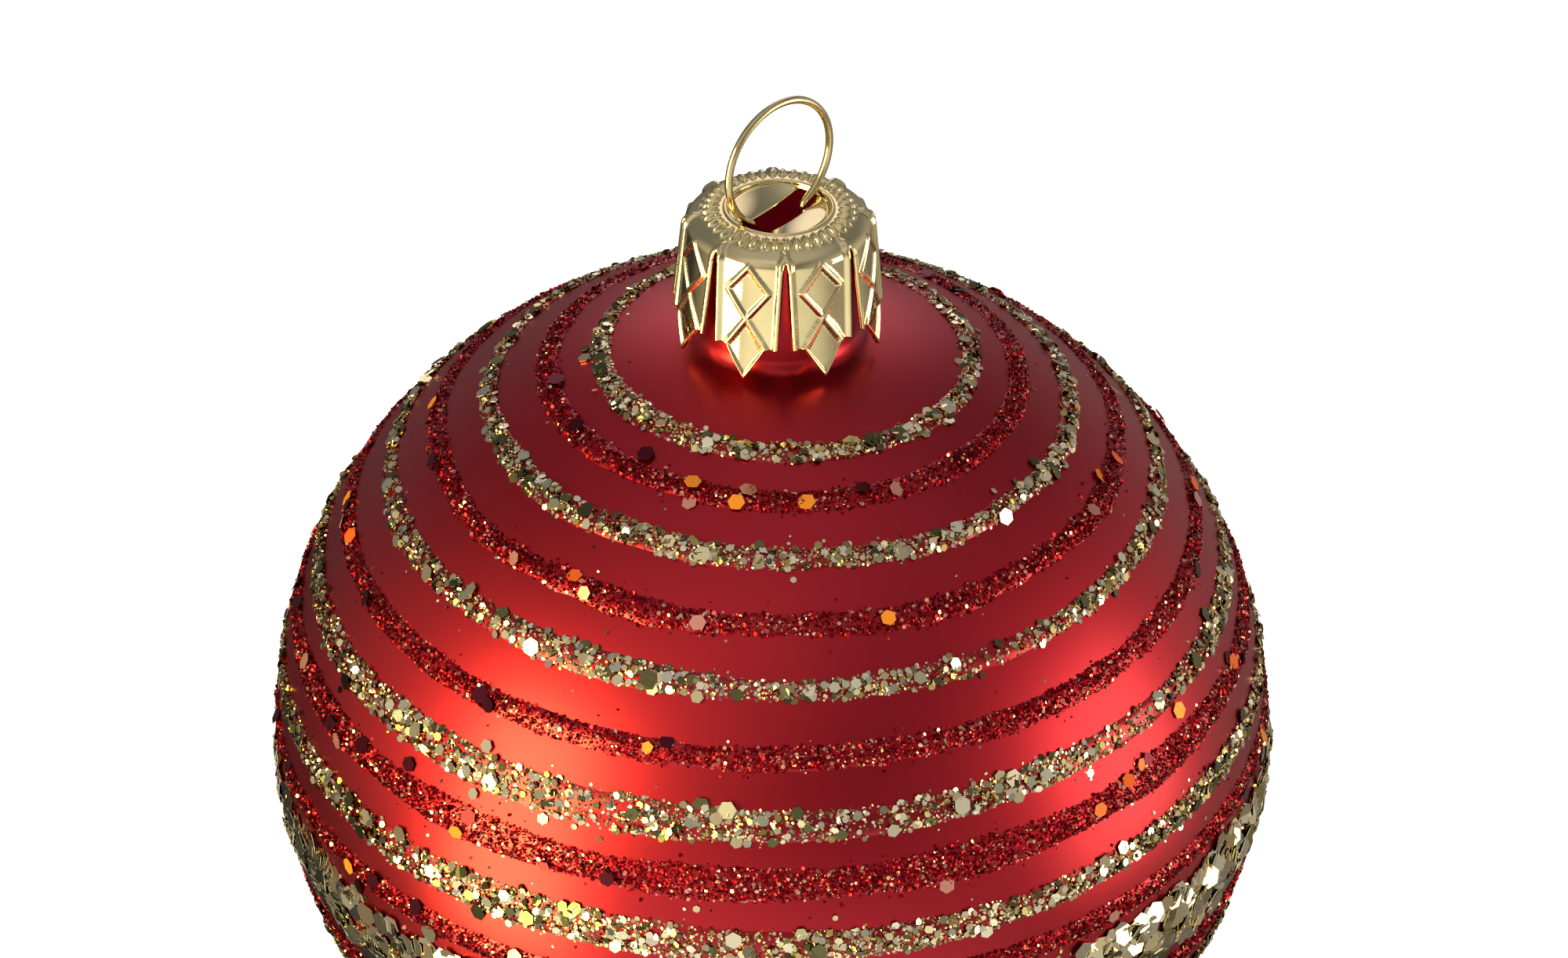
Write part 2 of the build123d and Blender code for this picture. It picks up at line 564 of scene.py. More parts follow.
def petal_relief(x, depth, gap_x):
    """Height of the stamping on a petal: x across from its middle, depth below the top."""
    lattice = np.full_like(x, NO_LATTICE)
    for start, stop in zip(LATTICE, LATTICE[1:]):
        lattice = np.minimum(lattice, to_segment(np.abs(x), depth, start, stop))
    relief = ridge(lattice, LATTICE_WIDTH, LATTICE_HEIGHT)
    arch = to_segment(gap_x, depth, (0.0, GAP_TOP - 0.55), (HEM_OFF, GAP_TOP + 0.6))
    relief = np.maximum(relief, ridge(arch, HEM_WIDTH, ARCH_HEIGHT))
    widening = GAP_BOTTOM_HALF - GAP_TOP_HALF
    gap = to_segment(gap_x, depth, (0.0, GAP_TOP + 0.2), (widening, HEM_END))
    return np.maximum(relief, ridge(np.abs(gap - HEM_OFF), HEM_WIDTH, HEM_HEIGHT))


def cap_profile(cap):
    """Outside section of the crown, radius and depth in millimetres, down to the corners."""
    recess, depth = cap.recess_radius / MM, cap.recess_depth / MM
    wall = np.stack([np.linspace(recess, recess + 0.12, 4), np.linspace(depth, 0.1, 4)], 1)
    lip = arc((recess + 0.32, 0.08), 0.2, 170, 20, 8) * (1, -1) + (0, 0.16)
    across = np.linspace(0, 1, 24)
    start = recess + 0.6
    flat = np.stack([start + (TOP_EDGE - start) * across, TOP_DROP * across**1.6], 1)
    turn = np.radians(np.linspace(24, 84, 15))
    out = (np.sin(turn) - math.sin(turn[0])) / (math.sin(turn[-1]) - math.sin(turn[0]))
    down = math.cos(turn[0]) - np.cos(turn)
    shoulder = np.stack([TOP_EDGE + SHOULDER_REACH * out, TOP_DROP + SHOULDER_ROUND * down], 1)
    return np.concatenate([wall, lip, flat, shoulder[1:]])


def petal_grid(cap):
    """One petal with its sector of the top, from the recess to the tip of the tooth.

    Returns -1 to 1 across the petal, and the radius, depth and half gap of each point.
    """
    top = cap_profile(cap)
    tip_depth = (CAP_HIGH.z - CAP_LOW.z) / MM
    tip_radius = CAP_HIGH.x / MM + SKIRT_FLARE
    across = np.linspace(-1, 1, PETAL_COLUMNS + 1)
    tooth = np.clip(1 - np.abs(across) / (TOOTH_HALF / PETAL_HALF), 0, 1)
    bottom = CORNER_DEPTH + (tip_depth - CORNER_DEPTH) * tooth
    start_radius, start_depth = top[-1]
    slope = (tip_radius - start_radius) / (tip_depth - start_depth)
    down = np.linspace(0, 1, SKIRT_ROWS + 1)[1:, None]
    skirt_depth = start_depth + (bottom - start_depth) * down
    skirt_radius = start_radius + slope * (skirt_depth - start_depth)
    flat = np.ones_like(across)
    radius = np.concatenate([top[:, :1] * flat, skirt_radius])
    depth = np.concatenate([top[:, 1:] * flat, skirt_depth])
    share = np.clip((depth - GAP_TOP) / (CORNER_DEPTH - GAP_TOP), 0, 1)
    gap_half = np.where(depth > GAP_TOP, GAP_TOP_HALF + (GAP_BOTTOM_HALF - GAP_TOP_HALF) * share, 0)
    return across, radius, depth, gap_half


def bead_lumps(cap, azimuth, radius):
    """Height of the embossed beads round the top."""
    step = 2 * math.pi / cap.bead_count
    off_bead = (azimuth / step + 0.5) % 1 - 0.5
    across = off_bead * step * radius / BEAD_HALF_WIDTH
    along = (radius - BEAD_RING) / BEAD_HALF_LENGTH
    return BEAD_HEIGHT * np.sqrt(np.clip(1 - across**2 - along**2, 0, None))


def slot_plate(cap, side):
    """Points of the half-moon plate of the sunk floor on one side of the slot, row by row."""
    chord = cap.slot_width / 2
    reach = cap.recess_radius * 1.02
    bend = math.asin(chord / reach)
    angle = np.linspace(bend, math.pi - bend, PLATE_COLUMNS)
    rim_x, rim_y = reach * np.cos(angle), reach * np.sin(angle)
    rows = []
    for t in np.linspace(0, 1, PLATE_ROWS):
        y = chord + (rim_y - chord) * t
        dip = PLATE_CURL * (1 - t) ** 3 + PLATE_SLOPE * (rim_y - y)
        rows.append(np.stack([rim_x, side * y, np.full_like(y, -dip)], -1))
    plate = np.array(rows).reshape(-1, 3)
    c, s = math.cos(cap.slot_turn), math.sin(cap.slot_turn)
    x = plate[:, 0] * c - plate[:, 1] * s
    y = plate[:, 0] * s + plate[:, 1] * c
    return np.stack([x, y, plate[:, 2] + CAP_HIGH.z - cap.recess_depth], -1)


class ORNAMENT_OT_cap(bpy.types.Operator):
    """Stamp the crown cap with its lattice, beads and petals."""

    bl_idname = "ornament.cap"
    bl_label = "Crown cap"

    def execute(self, context):
        cap = context.scene.ornament_cap
        across, radius, depth, gap_half = petal_grid(cap)
        half = math.pi / PETALS
        turn = across * (half - gap_half / radius)
        x = turn * radius
        relief = petal_relief(x, depth, half * radius - np.abs(x))
        relief *= np.clip((radius - TOP_EDGE) / RELIEF_FADE, 0, 1)
        # The relief stands out square to the sheet
        slope_r = np.gradient(radius, axis=0)
        slope_d = np.gradient(depth, axis=0)
        size = np.hypot(slope_r, slope_d) + 1e-9
        out_r, out_d = slope_d / size, -slope_r / size
        points, faces, first = [], [], 0
        for petal in range(PETALS):
            azimuth = cap.petal_turn + (petal + 0.5) * 2 * half + turn
            lift = relief + bead_lumps(cap, azimuth, radius)
            r = (radius + lift * out_r) * MM
            z = CAP_HIGH.z - (depth + lift * out_d) * MM
            points.append(np.stack([r * np.cos(azimuth), r * np.sin(azimuth), z], -1).reshape(-1, 3))
            faces.append(grid_faces(*radius.shape, first=first)[:, ::-1])
            first += radius.size
        for side in (1, -1):
            quads = grid_faces(PLATE_ROWS, PLATE_COLUMNS, first=first)
            points.append(slot_plate(cap, side))
            faces.append(quads if side > 0 else quads[:, ::-1])
            first += PLATE_ROWS * PLATE_COLUMNS
        mesh = mesh_from("crown", np.concatenate(points), faces)
        piece = add_object(
            "crown", mesh, [stamped_material(cap)], "cap", ["crown_cap"]
        )
        weld = piece.modifiers.new("Join petals", "WELD")
        weld.merge_threshold = 0.01 * MM
        sheet = piece.modifiers.new("Sheet", "SOLIDIFY")
        sheet.thickness = cap.sheet
        sheet.offset = -1
        return {"FINISHED"}


# ---------------------------------------------------------------- wire


# The bends of the wire, in millimetres and degrees
LOOP_OPEN_HALF = 35
LEG_SPLAY = 35
TIP_TURN = 20
WAIST_BEND, KNEE_BEND, TIP_BEND = 1.2, 3.0, 6.0
LEG_X = 5.01
WIRE_SIDES = 28


def wire_path(wire):
    """Middle of the wire in the plane of the loop, from one leg tip to the other."""
    loop = wire.loop_radius / MM
    centre = (0.0, (WIRE_HIGH.z - wire.radius) / MM - loop)
    half_loop = arc(centre, loop, 90, LOOP_OPEN_HALF - 90, 60)
    turn = math.radians(LOOP_OPEN_HALF)
    waist_at = (
        (loop + WAIST_BEND) * math.sin(turn),
        centre[1] - (loop + WAIST_BEND) * math.cos(turn),
    )
    bend = arc(waist_at, WAIST_BEND, 90 + LOOP_OPEN_HALF, 180 + LEG_SPLAY, 16)[1:]
    lean = math.radians(LEG_SPLAY)
    knee_x = LEG_X - KNEE_BEND
    knee_start = knee_x + KNEE_BEND * math.cos(lean)
    run = (knee_start - bend[-1][0]) / math.sin(lean)
    knee_at = (knee_x, bend[-1][1] - run * math.cos(lean) - KNEE_BEND * math.sin(lean))
    knee_arc = arc(knee_at, KNEE_BEND, LEG_SPLAY, 0, 12)
    leg_end = WIRE_LOW.z / MM + TIP_BEND * math.sin(math.radians(TIP_TURN))
    leg = np.stack([np.full(12, LEG_X), np.linspace(knee_at[1], leg_end, 12)], 1)[1:]
    tip_arc = arc((LEG_X - TIP_BEND, leg_end), TIP_BEND, 0, -TIP_TURN, 8)[1:]
    side = np.concatenate([half_loop, bend, knee_arc, leg, tip_arc]) * MM
    return np.concatenate([(side * (-1, 1))[::-1], side[1:]])


class ORNAMENT_OT_wire(bpy.types.Operator):
    """Bend the hanger wire."""

    bl_idname = "ornament.wire"
    bl_label = "Hanger wire"

    def execute(self, context):
        wire = context.scene.ornament_wire
        path = wire_path(wire)
        count, sides = len(path), WIRE_SIDES
        along = np.gradient(path, axis=0)
        along /= np.linalg.norm(along, axis=1)[:, None]
        across = np.stack([along[:, 1], -along[:, 0]], 1)
        angle = np.linspace(0, 2 * math.pi, sides, endpoint=False)
        flat = np.cos(angle)[None, :, None] * across[:, None, :] * wire.radius
        plane = path[:, None, :] + flat
        depth = np.broadcast_to(np.sin(angle) * wire.radius, (count, sides))
        points = np.stack([plane[..., 0], depth, plane[..., 1]], -1).reshape(-1, 3)
        tube = grid_faces(count, sides, wrap=True)
        ends = []
        for row, step in ((0, 1), (count - 1, -1)):
            ends.append((row * sides + np.arange(sides)[::step])[None, :])
        mesh = mesh_from("wire_loop", points, [tube, *ends])
        add_object(
            "wire_loop", mesh, [wire_material(wire)], "hanger", ["hanger_wire"]
        )
        return {"FINISHED"}


# ---------------------------------------------------------------- glitter


# Colour, roughness and how metallic each film is. The near-black olive gold tone is a painted dark
# reflection, and the pale orange tone on the red lines is a painted glint.
FLAKE_TONES = {
    "gold bright": ((0.93, 0.80, 0.48), 0.10, 1.0),
    "gold pale": ((0.93, 0.87, 0.66), 0.14, 1.0),
    "gold deep": ((0.50, 0.38, 0.14), 0.12, 1.0),
    # Painted dark reflection: near-black olive gold stands for flakes that mirror dark surroundings.
    "gold painted dark reflection": ((0.17, 0.16, 0.07), 0.14, 1.0),
    "red bright": ((0.50, 0.014, 0.022), 0.14, 1.0),
    "red deep": ((0.24, 0.004, 0.010), 0.16, 1.0),
    # Painted glint: pale orange on red flakes stands for the sparkle of light they catch.
    "red painted glint": ((0.98, 0.50, 0.34), 0.12, 1.0),
    "maroon": ((0.10, 0.010, 0.022), 0.18, 0.9),
    "orange": ((0.95, 0.15, 0.01), 0.25, 0.35),
    "amber": ((0.98, 0.32, 0.02), 0.25, 0.35),
    "pink": ((0.80, 0.36, 0.30), 0.22, 0.7),
}

# Size range in mm, flakes per square mm, corners, share strewn past the edges, tilt, height in
# the pile, and how often each tone comes
Mix = namedtuple("Mix", "low high per_mm2 corners stray tilt layer tones")
GOLD_MIX = (
    Mix(0.18, 0.34, 24.0, 5, 0.03, 0.46, 0.5,
        {"gold bright": 6, "gold pale": 4, "gold deep": 6, "gold painted dark reflection": 3}),
    Mix(0.42, 0.70, 2.7, 6, 0.08, 0.30, 1.2,
        {"gold bright": 4, "gold pale": 5, "gold deep": 2, "gold painted dark reflection": 4}),
    Mix(0.80, 1.10, 0.24, 6, 0.22, 0.18, 1.7,
        {"gold bright": 4, "gold pale": 6, "gold painted dark reflection": 4}),
    Mix(1.25, 1.45, 0.05, 6, 0.5, 0.10, 2.0,
        {"gold bright": 3, "gold pale": 4, "gold painted dark reflection": 4}),
)
RED_MIX = (
    Mix(0.16, 0.27, 42.0, 5, 0.03, 0.50, 0.5, {"red bright": 8, "red deep": 9, "red painted glint": 2}),
    Mix(0.26, 0.36, 4.5, 6, 0.06, 0.40, 1.0, {"red bright": 6, "red deep": 7, "red painted glint": 3}),
    Mix(1.15, 1.45, 0.06, 6, 0.5, 0.14, 2.0, {"maroon": 9, "orange": 3, "amber": 3, "pink": 3}),
)
BAND_MIX = (
    Mix(0.30, 0.50, 4.0, 5, 0.1, 0.40, 0.5, {"gold bright": 4, "gold deep": 3, "gold painted dark reflection": 2}),
    Mix(1.70, 2.00, 1.35, 6, 0.04, 0.15, 1.6, {"gold bright": 5, "gold pale": 6, "gold deep": 1}),
)
# Flakes of a mix with this size or more have a thickness, both in mm
THICK_FROM, FLAKE_THICKNESS = 0.7, 0.05
COVER_LIMIT = 1.3  # the most thickly a place is strewn, against the usual
GLUE_ROWS = 11
GLUE_SUNK = 0.02 * MM
GLUE_EDGE = 0.93  # flakes past this share of the half width lie flat on the glass
STEEPEST = 9  # slopes of the glue from here on are taken as flat
RED_SEED, BAND_SEED = 100, 300
BAND_HALF_WIDTH, BAND_GLUE = 3.0 * MM, 0.2 * MM


def flake_material(tone):
    """Mirror-bright film of one colour."""
    name = f"Flake {tone}"
    found = bpy.data.materials.get(name)
    if found:
        return found
    colour, roughness, metallic = FLAKE_TONES[tone]
    return new_material(name, colour, roughness, metallic)[0]


def ring_latitude(ball, node):
    """Middle latitude, in radians, of the ring that a node stands for."""
    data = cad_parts[node].data
    co = np.zeros(len(data.vertices) * 3)
    data.vertices.foreach_get("co", co)
    co = co.reshape(-1, 3)
    out = np.hypot(co[:, 0], co[:, 1]) / ball.radius
    up = (co[:, 2] - ball_middle(ball)) / ball.half_height
    latitude = np.arctan2(up, out)
    return (latitude.max() + latitude.min()) / 2


def hand_tilt(latitude, azimuth):
    """How far a hand-laid ring strays from level: it rises on one side and sinks on the other."""
    degrees = math.degrees(latitude)
    swing = np.clip(-1.25 + (degrees - 12) * 2.3 / 57, -1.7, 1.1)
    return -math.radians(swing) * np.cos(azimuth + math.radians(41.7))


def wobble(rng, azimuth, waves):
    """Smooth random variation round a ring, about -1 to 1."""
    total = np.zeros_like(azimuth)
    for wave in waves:
        total += rng.normal() * np.cos(wave * azimuth + rng.uniform(0, 2 * math.pi))
    return total / math.sqrt(len(waves))


# The gold lines swell and thin twice round the ball
WIDEST_AT = math.radians(165)
# Where glitter has rubbed off a line: azimuth, reach round the ball, share left
THIN_PLACES = {
    "gold_line_1": ((-77, 7, 0.45),),
    "gold_line_3": ((-99, 8, 0.4),),
    "gold_line_4": ((-82, 14, 0.3), (-122, 9, 0.5)),
}


class Ring:
    """One drawn line of glue: where it runs, how wide it is, and how well it is covered."""

    def __init__(self, ball, rng, latitude, half_arc, glue_height):
        self.ball, self.latitude, self.glue_height = ball, latitude, glue_height
        self.half_arc = half_arc
        self.speed = arc_per_radian(ball, latitude)
        around = np.linspace(0, 2 * math.pi, 720, endpoint=False)
        drift = wobble(rng, around, (2, 3, 5, 9)) * math.radians(0.16)
        self.centre = latitude + hand_tilt(latitude, around) + drift
        self.width = 1 + 0.12 * wobble(rng, around, (3, 7, 12, 23, 41))
        self.cover = np.clip(1 + 0.22 * wobble(rng, around, (4, 9, 17, 33)), 0.35, 1.6)

    def thin(self, azimuth, reach, share):
        """Leave only a share of the flakes about one azimuth, all in degrees."""
        around = np.linspace(0, 360, len(self.cover), endpoint=False)
        away = np.abs((around - azimuth + 180) % 360 - 180) / reach
        self.cover *= 1 - (1 - share) * np.exp(-(away**2))

    def at(self, values, azimuth):
        """Value of one of the ring's tables at any azimuth."""
        step = azimuth / (2 * math.pi) * len(values)
        low = np.floor(step).astype(int)
        share = step - low
        return values[low % len(values)] * (1 - share) + values[(low + 1) % len(values)] * share

    def crown(self, across):
        """Height of the glue over the glass, for -1 to 1 across the line."""
        return self.glue_height * np.clip(1 - across**2, 0, None) ** 0.7

    def surface(self, azimuth, across, lift=0.0):
        """Points and outward normals on the glue."""
        half = self.half_arc * self.at(self.width, azimuth)
        latitude = self.at(self.centre, azimuth) + across * half / self.speed
        height = self.crown(across) + lift
        point, normal, north = on_ball(self.ball, latitude, azimuth, height)
        step = 0.02
        slope = (self.crown(across + step) - self.crown(across - step)) / (2 * step * half)
        inside = (np.abs(across) < GLUE_EDGE)[..., None]
        tilted = normal - north * (slope * (slope < STEEPEST))[..., None]
        tilted /= np.linalg.norm(tilted, axis=-1)[..., None]
        return point, np.where(inside, tilted, normal)

    def area(self):
        """Area of the line in square metres."""
        return 2 * self.half_arc * 2 * math.pi * self.ball.radius * math.cos(self.latitude)


def line_half_width(glitter, latitude):
    """Lines drawn low on either half of the ball, where it is steep, come out wider."""
    steep = 8 < abs(math.degrees(latitude)) < 30
    return glitter.line_width / 2 * (1.35 if steep else 1.0)


def glue_mesh(ring):
    """Points and faces of the glue line, a low ridge on the glass."""
    columns = max(120, int(720 * math.cos(ring.latitude)))
    azimuth = np.linspace(0, 2 * math.pi, columns, endpoint=False)
    rows = []
    for across in np.linspace(-0.97, 0.97, GLUE_ROWS):
        point, _ = ring.surface(azimuth, np.full(columns, across), -GLUE_SUNK)
        rows.append(point)
    return np.array(rows).reshape(-1, 3), grid_faces(GLUE_ROWS, columns, wrap=True)


def strew(rng, ring, mix, density):
    """Flake centres, normals, sizes and tones for one mix of flakes on a ring."""
    count = int(ring.area() / MM**2 * mix.per_mm2 * density * COVER_LIMIT)
    azimuth = rng.uniform(0, 2 * math.pi, count)
    keep = rng.uniform(0, COVER_LIMIT, count) < ring.at(ring.cover, azimuth)
    azimuth = azimuth[keep]
    count = len(azimuth)
    across = rng.uniform(-1, 1, count) + rng.normal(0, 0.06, count)
    across = np.where(rng.uniform(size=count) < mix.stray, rng.normal(0, 0.8, count), across)
    size = rng.uniform(mix.low, mix.high, count) * MM
    lift = rng.uniform(0.02, 0.14, count) * mix.layer * MM + size * 0.04
    point, normal = ring.surface(azimuth, across, lift)
    normal = normal + rng.normal(0, mix.tilt, (count, 3)) * np.exp(-(across[:, None] ** 2) / 4)
    normal /= np.linalg.norm(normal, axis=1)[:, None]
    names = list(mix.tones)
    weights = np.array([mix.tones[name] for name in names], float)
    tone = rng.choice(len(names), count, p=weights / weights.sum())
    return point, normal, size, [names[index] for index in tone]


def flake_polygons(rng, point, normal, size, corners, first):
    """Cut flakes: the points of their corners and their top faces."""
    count = len(point)
    side = np.cross(normal, [0.31, 0.17, 0.93])
    side /= np.linalg.norm(side, axis=1)[:, None]
    other = np.cross(normal, side)
    step = 2 * math.pi / corners
    spin = rng.uniform(0, step, count)[:, None] + np.arange(corners) * step
    ragged = rng.uniform(0.6, 1.0, (count, corners))
    whole = rng.uniform(size=(count, 1)) < (0.3 if corners < 6 else 0.9)
    reach = (size / 2)[:, None] * np.where(whole, 1.0, ragged)
    edge = (
        point[:, None, :]
        + side[:, None, :] * (np.cos(spin) * reach)[..., None]
        + other[:, None, :] * (np.sin(spin) * reach)[..., None]
    )
    top = first + np.arange(count * corners).reshape(count, corners)
    return edge.reshape(-1, 3), top


def flake_edges(corners, normal, thickness, first_top, first_bottom):
    """Lower points and side faces that give flakes their thickness."""
    lower = corners.reshape(-1, 6, 3) - normal[:, None, :] * thickness
    count = len(lower)
    index = np.arange(count * 6).reshape(count, 6)
    after = np.roll(index, -1, axis=1)
    sides = np.stack(
        [first_top + index, first_bottom + index, first_bottom + after, first_top + after], -1
    )
    return lower.reshape(-1, 3), sides.reshape(-1, 4)


def lay_glitter(name, node, mixes, glitter, ball, half_arc, glue_height, seed):
    """Draw one line of glue and strew it with flakes."""
    rng = np.random.default_rng(seed)
    latitude = ring_latitude(ball, node)
    half_arc = half_arc or line_half_width(glitter, latitude)
    ring = Ring(ball, rng, latitude, half_arc, glue_height)
    for azimuth, reach, share in THIN_PLACES.get(node, ()):
        ring.thin(azimuth, reach, share)
    if node in GOLD_LINES:
        around = np.linspace(0, 2 * math.pi, len(ring.width), endpoint=False)
        ring.width *= 0.95 + 0.15 * np.cos(2 * (around + WIDEST_AT))
    points, faces = glue_mesh(ring)
    blocks, all_points = [faces], [points]
    tones, smooth = [np.zeros(len(faces))], [np.ones(len(faces))]
    total, names = len(points), []
    for mix in mixes:
        point, normal, size, tone = strew(rng, ring, mix, glitter.density)
        corners, top = flake_polygons(rng, point, normal, size, mix.corners, total)
        for each in tone:
            if each not in names:
                names.append(each)
        index = np.array([names.index(each) + 1 for each in tone])
        all_points.append(corners)
        blocks.append(top)
        tones.append(index)
        smooth.append(np.zeros(len(top)))
        if mix.low > THICK_FROM:
            bottom = total + len(corners)
            lower, sides = flake_edges(corners, normal, FLAKE_THICKNESS * MM, total, bottom)
            all_points.append(lower)
            blocks.append(sides)
            tones.append(np.repeat(index, 6))
            smooth.append(np.zeros(len(sides)))
            total += len(lower)
        total += len(corners)
    mesh = mesh_from(
        name, np.concatenate(all_points), blocks, np.concatenate(tones), np.concatenate(smooth)
    )
    materials = [bpy.data.materials.get("Clear glue line") or glue_material(ball)]
    materials += [flake_material(tone) for tone in names]
    add_object(name, mesh, materials, "ball", [node])


def lay_lines(scene, nodes, mixes, slot, seed):
    """Lay the drawn lines of one colour, each named after the number of its node."""
    glitter = scene.ornament_glitter
    for order, node in enumerate(nodes):
        name = f"{slot}_{node.rsplit('_', 1)[1]}"
        lay_glitter(
            name, node, mixes, glitter, scene.ornament_ball, None, glitter.glue_height,
            glitter.seed + seed + order,
        )


class ORNAMENT_OT_gold_lines(bpy.types.Operator):
    """Lay the gold glitter lines."""

    bl_idname = "ornament.gold_lines"
    bl_label = "Gold lines"

    def execute(self, context):
        lay_lines(context.scene, GOLD_LINES, GOLD_MIX, "gold_glitter", 0)
        return {"FINISHED"}


class ORNAMENT_OT_red_lines(bpy.types.Operator):
    """Lay the red glitter lines."""

    bl_idname = "ornament.red_lines"
    bl_label = "Red lines"

    def execute(self, context):
        lay_lines(context.scene, RED_LINES, RED_MIX, "red_glitter", RED_SEED)
        return {"FINISHED"}


class ORNAMENT_OT_band(bpy.types.Operator):
    """Lay the wide band of large hexagons."""

    bl_idname = "ornament.band"
    bl_label = "Sequin band"

    def execute(self, context):
        scene = context.scene
        glitter = scene.ornament_glitter
        lay_glitter(
            "gold_hexagons", "sequin_band", BAND_MIX, glitter, scene.ornament_ball,
            BAND_HALF_WIDTH, BAND_GLUE, glitter.seed + BAND_SEED,
        )
        return {"FINISHED"}


# ---------------------------------------------------------------- stage


def softbox(target, turn, name, azimuth, rise, distance, width, height, power, colour):
    """Soft area light that faces the ball."""
    data = bpy.data.lights.new(name, "AREA")
    data.shape = "RECTANGLE"
    data.size, data.size_y = width, height
    data.energy = power
    data.color = colour
    light = bpy.data.objects.new(name, data)
    away = facing(azimuth + turn, rise)
    light.location = target + away * distance
    light.rotation_euler = away.to_track_quat("Z", "Y").to_euler()
    bpy.context.scene.collection.objects.link(light)


def facing(azimuth, rise):
    """Unit vector towards a place in the room."""
    turn, up = math.radians(azimuth), math.radians(rise)
    return Vector((math.cos(turn) * math.cos(up), math.sin(turn) * math.cos(up), math.sin(up)))


# How far the floor lies below the ball at rest, past the travel of the ball when it is pulled off
FLOOR_DROP = 24.0 * MM
FLOOR_REACH = 6.0

# Soft area lights: name, azimuth, rise, distance, width, height, power, colour
SOFTBOXES = (
    ("Key strip", -146, 1, 0.7, 0.34, 0.76, 11.0, (1.0, 0.88, 0.27)),
    ("Side strip", -10, 2, 0.8, 0.42, 0.56, 3.0, (1.0, 0.80, 0.55)),
)

# Soft patches of light in the room: azimuth, rise, full within, gone past, brightness, colour
GLOWS = (
    (-90, -46, 18, 60, 0.88, (1.0, 0.98, 0.84)),
    (-90, 88, 10, 48, 0.26, (1.0, 0.94, 0.96)),
    (90, 27, 10, 22, 0.95, (1.0, 0.87, 0.88)),
    (-108, 50, 8, 34, 0.26, (1.0, 0.88, 0.72)),
    (-147, 0, 18, 70, 0.36, (1.0, 0.82, 0.58)),
    (-12, 0, 15, 60, 0.30, (1.0, 0.88, 0.75)),
    (40, -14, 10, 50, 0.16, (1.0, 0.90, 0.80)),
)


def studio_world(turn):
    """Room light: dim below the horizon and even above it, with soft bright patches."""
    world = bpy.data.worlds.new("Studio")
    world.use_nodes = True
    nodes, links = world.node_tree.nodes, world.node_tree.links
    background = nodes["Background"]
    place = nodes.new("ShaderNodeTexCoord")
    split = nodes.new("ShaderNodeSeparateXYZ")
    links.new(place.outputs["Generated"], split.inputs["Vector"])
    ramp = nodes.new("ShaderNodeMapRange")
    ramp.interpolation_type = "SMOOTHSTEP"
    ramp.inputs["From Min"].default_value = -0.55
    ramp.inputs["From Max"].default_value = 0.12
    ramp.inputs["To Min"].default_value = 0.03
    ramp.inputs["To Max"].default_value = 0.18
    links.new(split.outputs["Z"], ramp.inputs["Value"])
    total = ramp.outputs["Result"]
    for azimuth, rise, inner, outer, level, colour in GLOWS:
        dot = nodes.new("ShaderNodeVectorMath")
        dot.operation = "DOT_PRODUCT"
        dot.inputs[1].default_value = facing(azimuth + turn, rise)
        links.new(place.outputs["Generated"], dot.inputs[0])
        patch = nodes.new("ShaderNodeMapRange")
        patch.interpolation_type = "SMOOTHSTEP"
        patch.inputs["From Min"].default_value = math.cos(math.radians(outer))
        patch.inputs["From Max"].default_value = math.cos(math.radians(inner))
        patch.inputs["To Max"].default_value = level
        links.new(dot.outputs["Value"], patch.inputs["Value"])
        add = nodes.new("ShaderNodeVectorMath")
        add.operation = "MULTIPLY_ADD"
        add.inputs[1].default_value = colour
        links.new(patch.outputs["Result"], add.inputs[0])
        links.new(total, add.inputs[2])
        total = add.outputs["Vector"]
    links.new(total, background.inputs["Color"])
    bpy.context.scene.world = world


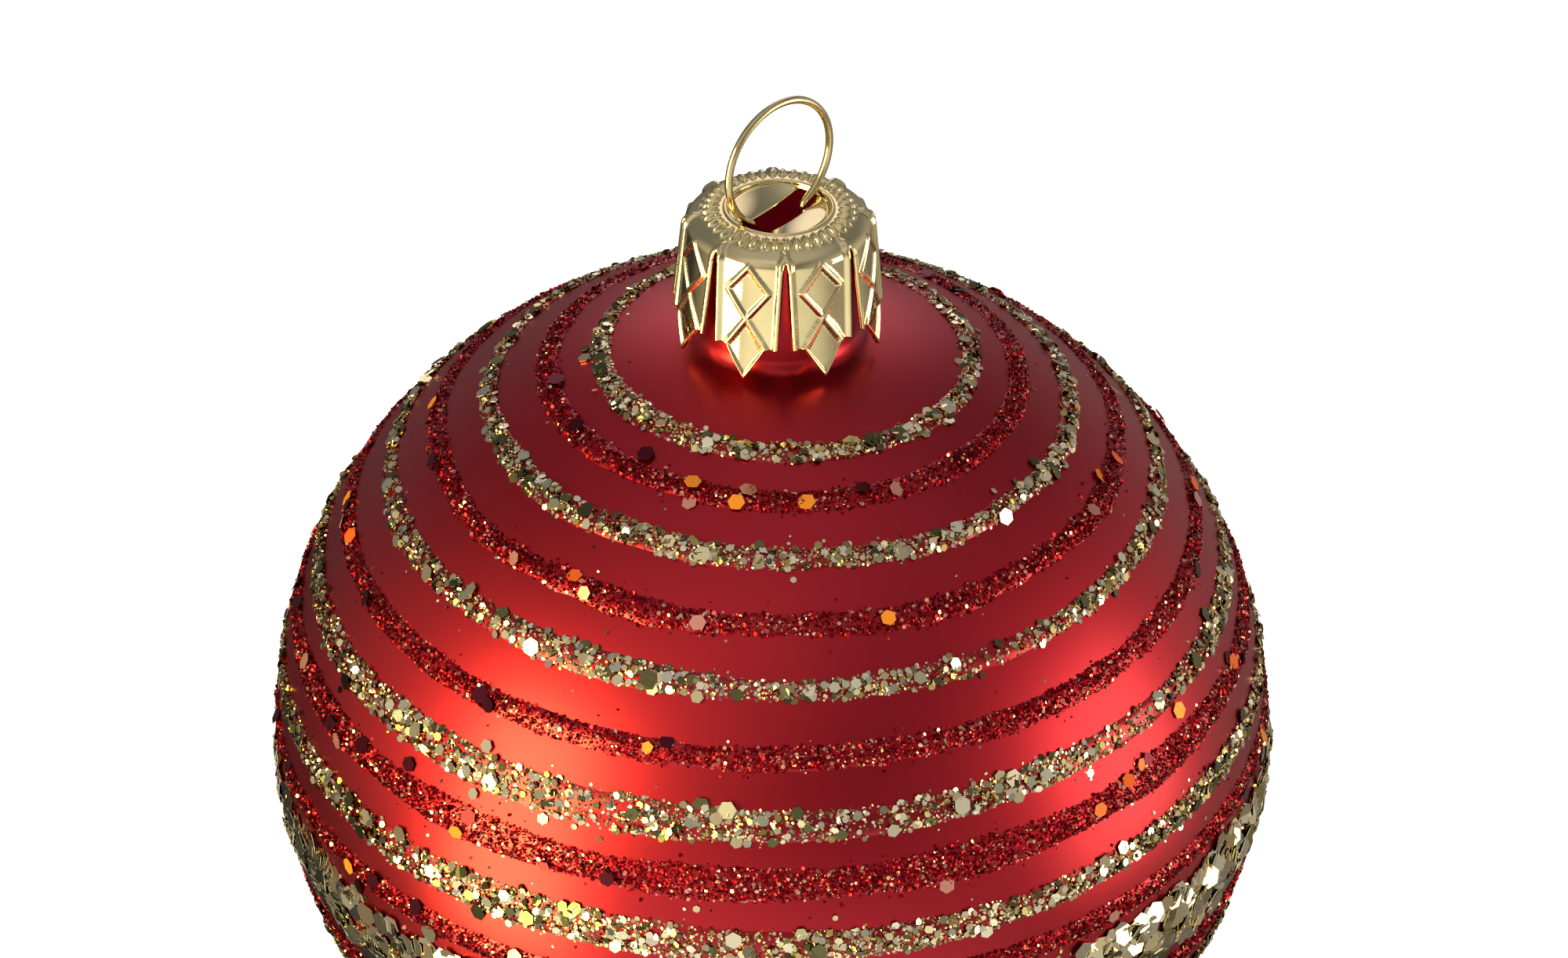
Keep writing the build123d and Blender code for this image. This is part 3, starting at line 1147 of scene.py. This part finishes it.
class ORNAMENT_OT_stage(bpy.types.Operator):
    """Set the floor, the lights and the camera."""

    bl_idname = "ornament.stage"
    bl_label = "Stage"

    def execute(self, context):
        stage = context.scene.ornament_stage
        ball = context.scene.ornament_ball
        middle = Vector((0, 0, ball_middle(ball)))
        floor_mesh = bpy.data.meshes.new("floor")
        reach, low = FLOOR_REACH, GLASS_LOW.z - FLOOR_DROP
        floor_mesh.from_pydata(
            [(-reach, -reach, low), (reach, -reach, low), (reach, reach, low), (-reach, reach, low)],
            [],
            [(0, 1, 2, 3)],
        )
        floor = bpy.data.objects.new("floor", floor_mesh)
        material, shader = new_material("Pale floor", (0.93, 0.93, 0.93), 0.7, metallic=0.0)
        shader.inputs["Emission Color"].default_value = (1, 1, 1, 1)
        shader.inputs["Emission Strength"].default_value = 0.7
        floor_mesh.materials.append(material)
        context.scene.collection.objects.link(floor)
        floor.visible_glossy = False

        turn = math.degrees(stage.view_turn) + 90
        for light in SOFTBOXES:
            softbox(middle, turn, *light)
        studio_world(turn)

        data = bpy.data.cameras.new("Camera")
        data.sensor_width = 36.0
        data.lens = stage.lens
        data.clip_start = 0.01
        camera = bpy.data.objects.new("Camera", data)
        context.scene.collection.objects.link(camera)
        # The camera stands square to the X axis of the view, then turns round the ball
        back = Vector((0, -math.cos(stage.view_rise), math.sin(stage.view_rise)))
        right = Vector((1, 0, 0))
        over = back.cross(right)
        eye = back * stage.view_distance
        target = right * stage.aim[0] + over * stage.aim[1]
        look = (eye - target).normalized()
        side = over.cross(look).normalized()
        basis = Matrix((side, look.cross(side), look)).transposed().to_4x4()
        basis.translation = eye
        rig = Matrix.Rotation(stage.view_turn + math.pi / 2, 4, "Z")
        rig = rig @ Matrix.Rotation(-stage.lean, 4, "Y")
        camera.matrix_world = Matrix.Translation(middle) @ rig @ basis
        context.scene.camera = camera
        context.scene.view_settings.view_transform = "Standard"
        return {"FINISHED"}


# ---------------------------------------------------------------- panel


OPERATORS = (
    ORNAMENT_OT_ball,
    ORNAMENT_OT_cap,
    ORNAMENT_OT_wire,
    ORNAMENT_OT_gold_lines,
    ORNAMENT_OT_red_lines,
    ORNAMENT_OT_band,
    ORNAMENT_OT_stage,
)


class ORNAMENT_PT_panel(bpy.types.Panel):
    """Lists the pieces of the ornament."""

    bl_idname = "ORNAMENT_PT_panel"
    bl_label = "Glass Ball Ornament"
    bl_space_type = "VIEW_3D"
    bl_region_type = "UI"
    bl_category = "Ornament"

    def draw(self, context):
        for operator in OPERATORS:
            self.layout.operator(operator.bl_idname)
        for name, settings in SETTINGS.items():
            box = self.layout.box()
            box.label(text=settings.__name__.replace("Settings", ""))
            for prop in settings.__annotations__:
                box.prop(getattr(context.scene, name), prop)


def register():
    for settings in SETTINGS.values():
        bpy.utils.register_class(settings)
    for name, settings in SETTINGS.items():
        setattr(bpy.types.Scene, name, bpy.props.PointerProperty(type=settings))
    for operator in OPERATORS:
        bpy.utils.register_class(operator)
    bpy.utils.register_class(ORNAMENT_PT_panel)


def unregister():
    bpy.utils.unregister_class(ORNAMENT_PT_panel)
    for operator in reversed(OPERATORS):
        bpy.utils.unregister_class(operator)
    for name, settings in SETTINGS.items():
        delattr(bpy.types.Scene, name)
        bpy.utils.unregister_class(settings)


def main():
    register()
    bpy.ops.ornament.ball()
    bpy.ops.ornament.cap()
    bpy.ops.ornament.wire()
    bpy.ops.ornament.gold_lines()
    bpy.ops.ornament.red_lines()
    bpy.ops.ornament.band()
    bpy.ops.ornament.stage()


if __name__ == "__main__":
    main()
